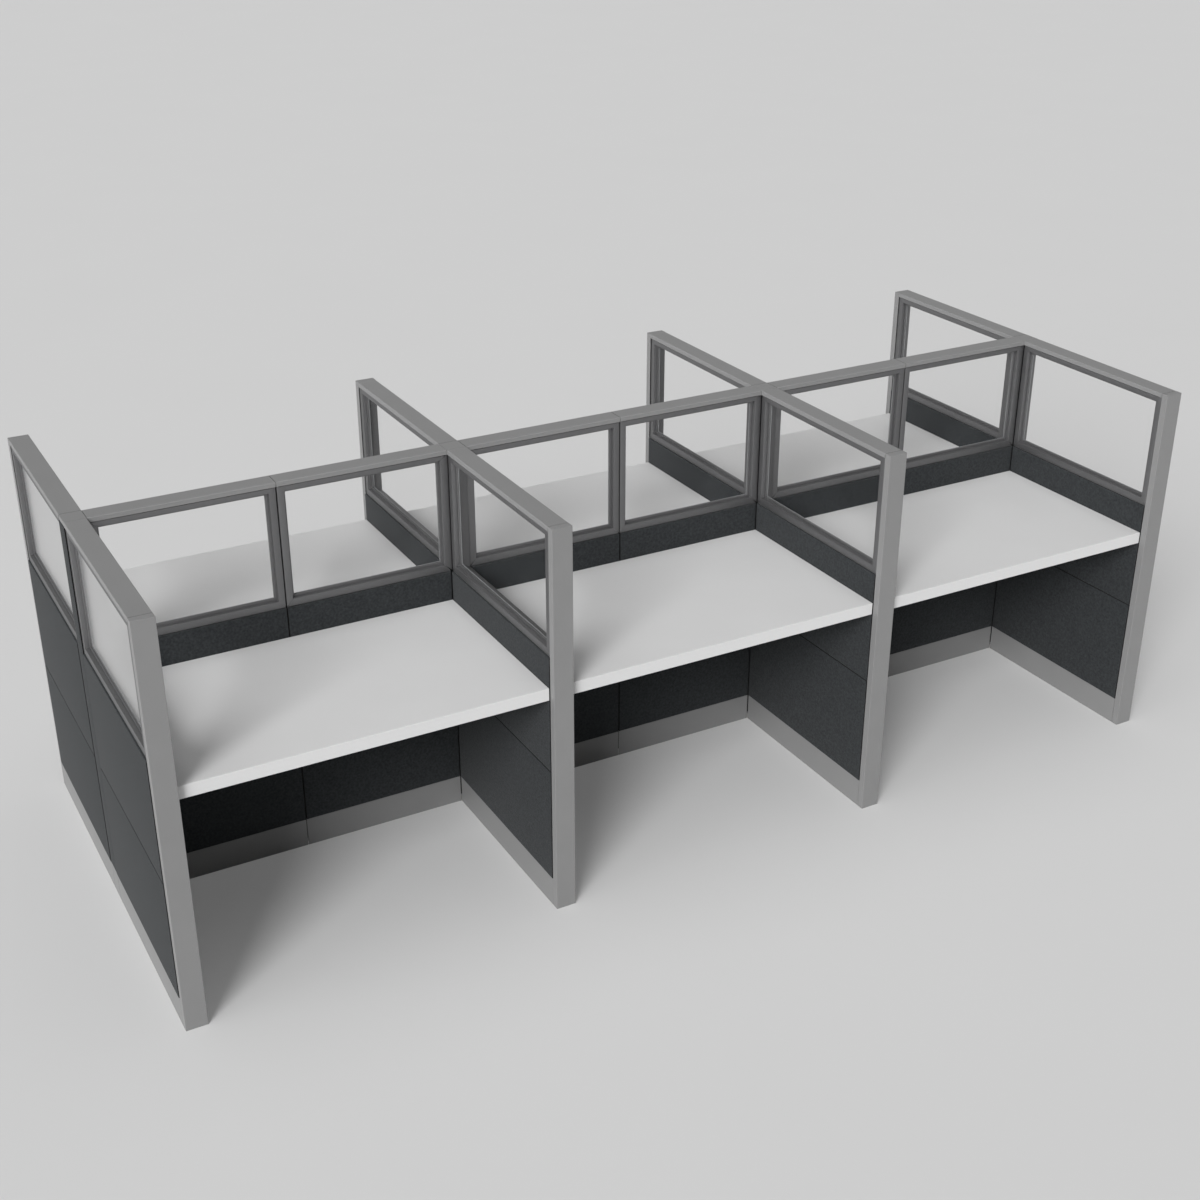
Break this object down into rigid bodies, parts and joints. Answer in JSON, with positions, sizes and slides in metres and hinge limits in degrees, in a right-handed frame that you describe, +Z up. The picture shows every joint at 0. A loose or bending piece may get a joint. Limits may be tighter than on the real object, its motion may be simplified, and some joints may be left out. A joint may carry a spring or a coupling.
{
  "type": "cubicle cluster",
  "caption": "Back-to-back office cubicle cluster: fabric-tiled, glazed-top panel walls in a spine and wings, with a white worksurface in every bay.",
  "frame": {"origin": "on the floor at the centre of the spine wall", "axes": "+X along the spine, +Y across it towards the back row, +Z up"},
  "size_m": [3.429, 1.416, 1.228],
  "materials": {
    "charcoal_fabric": "fine flat weave, wrapped over a board",
    "grey_paint": "satin mid-grey powder coat",
    "grey_aluminium": "extruded section, satin grey anodised",
    "clear_glass": "clear polished",
    "glazing_vinyl": "satin grey extruded gasket",
    "white_laminate": "white laminate on board",
    "white_edge": "white edge band",
    "frame_steel": "dark stoved steel tube",
    "bracket_steel": "dark powder-coated steel",
    "zinc_steel": "bright zinc plate"
  },
  "bodies": {
    "cluster": {"cantilever_brackets": "bracket_steel", "crossing_posts": "frame_steel", "glazing_gaskets": "glazing_vinyl", "glide_sockets": "zinc_steel", "inline_connectors": "frame_steel", "post_base_covers": "grey_paint", "post_caps": "grey_paint", "post_covers": "charcoal_fabric", "side_support_angles": "bracket_steel", "spine_base_covers": "grey_paint", "spine_glass": "clear_glass", "spine_panel_frames": "frame_steel", "spine_tiles": "charcoal_fabric", "spine_top_caps": "grey_paint", "spine_window_frames": "grey_aluminium", "wing_1_base_covers": "grey_paint", "wing_1_end_trims": "grey_paint", "wing_1_tiles": "charcoal_fabric", "wing_1_top_caps": "grey_paint", "wing_1_window_frames": "grey_aluminium", "wing_2_base_covers": "grey_paint", "wing_2_end_trims": "grey_paint", "wing_2_tiles": "charcoal_fabric", "wing_2_top_caps": "grey_paint", "wing_2_window_frames": "grey_aluminium", "wing_3_base_covers": "grey_paint", "wing_3_end_trims": "grey_paint", "wing_3_tiles": "charcoal_fabric", "wing_3_top_caps": "grey_paint", "wing_3_window_frames": "grey_aluminium", "wing_4_base_covers": "grey_paint", "wing_4_end_trims": "grey_paint", "wing_4_tiles": "charcoal_fabric", "wing_4_top_caps": "grey_paint", "wing_4_window_frames": "grey_aluminium", "wing_glass": "clear_glass", "wing_panel_frames": "frame_steel", "worksurface_1": "white_laminate", "worksurface_2": "white_laminate", "worksurface_3": "white_laminate", "worksurface_4": "white_laminate", "worksurface_5": "white_laminate", "worksurface_6": "white_laminate", "worksurface_edges": "white_edge"},
    "post_glide_1": {"post_glide_1": "zinc_steel"},
    "post_glide_2": {"post_glide_2": "zinc_steel"},
    "post_glide_3": {"post_glide_3": "zinc_steel"},
    "post_glide_4": {"post_glide_4": "zinc_steel"},
    "spine_glide_1": {"spine_glide_1": "zinc_steel"},
    "spine_glide_2": {"spine_glide_2": "zinc_steel"},
    "spine_glide_3": {"spine_glide_3": "zinc_steel"},
    "wing_1_back_glide": {"wing_1_back_glide": "zinc_steel"},
    "wing_1_front_glide": {"wing_1_front_glide": "zinc_steel"},
    "wing_2_back_glide": {"wing_2_back_glide": "zinc_steel"},
    "wing_2_front_glide": {"wing_2_front_glide": "zinc_steel"},
    "wing_3_back_glide": {"wing_3_back_glide": "zinc_steel"},
    "wing_3_front_glide": {"wing_3_front_glide": "zinc_steel"},
    "wing_4_back_glide": {"wing_4_back_glide": "zinc_steel"},
    "wing_4_front_glide": {"wing_4_front_glide": "zinc_steel"}
  },
  "joints": [
    {"name": "post_glide_1_travel", "type": "slide", "parent": "cluster", "child": "post_glide_1", "axis": [0, 0, -1], "range_m": [0, 0.025]},
    {"name": "post_glide_2_travel", "type": "slide", "parent": "cluster", "child": "post_glide_2", "axis": [0, 0, -1], "range_m": [0, 0.025]},
    {"name": "post_glide_3_travel", "type": "slide", "parent": "cluster", "child": "post_glide_3", "axis": [0, 0, -1], "range_m": [0, 0.025]},
    {"name": "post_glide_4_travel", "type": "slide", "parent": "cluster", "child": "post_glide_4", "axis": [0, 0, -1], "range_m": [0, 0.025]},
    {"name": "spine_glide_1_travel", "type": "slide", "parent": "cluster", "child": "spine_glide_1", "axis": [0, 0, -1], "range_m": [0, 0.025]},
    {"name": "spine_glide_2_travel", "type": "slide", "parent": "cluster", "child": "spine_glide_2", "axis": [0, 0, -1], "range_m": [0, 0.025]},
    {"name": "spine_glide_3_travel", "type": "slide", "parent": "cluster", "child": "spine_glide_3", "axis": [0, 0, -1], "range_m": [0, 0.025]},
    {"name": "wing_1_back_glide_travel", "type": "slide", "parent": "cluster", "child": "wing_1_back_glide", "axis": [0, 0, -1], "range_m": [0, 0.025]},
    {"name": "wing_1_front_glide_travel", "type": "slide", "parent": "cluster", "child": "wing_1_front_glide", "axis": [0, 0, -1], "range_m": [0, 0.025]},
    {"name": "wing_2_back_glide_travel", "type": "slide", "parent": "cluster", "child": "wing_2_back_glide", "axis": [0, 0, -1], "range_m": [0, 0.025]},
    {"name": "wing_2_front_glide_travel", "type": "slide", "parent": "cluster", "child": "wing_2_front_glide", "axis": [0, 0, -1], "range_m": [0, 0.025]},
    {"name": "wing_3_back_glide_travel", "type": "slide", "parent": "cluster", "child": "wing_3_back_glide", "axis": [0, 0, -1], "range_m": [0, 0.025]},
    {"name": "wing_3_front_glide_travel", "type": "slide", "parent": "cluster", "child": "wing_3_front_glide", "axis": [0, 0, -1], "range_m": [0, 0.025]},
    {"name": "wing_4_back_glide_travel", "type": "slide", "parent": "cluster", "child": "wing_4_back_glide", "axis": [0, 0, -1], "range_m": [0, 0.025]},
    {"name": "wing_4_front_glide_travel", "type": "slide", "parent": "cluster", "child": "wing_4_front_glide", "axis": [0, 0, -1], "range_m": [0, 0.025]}
  ]
}
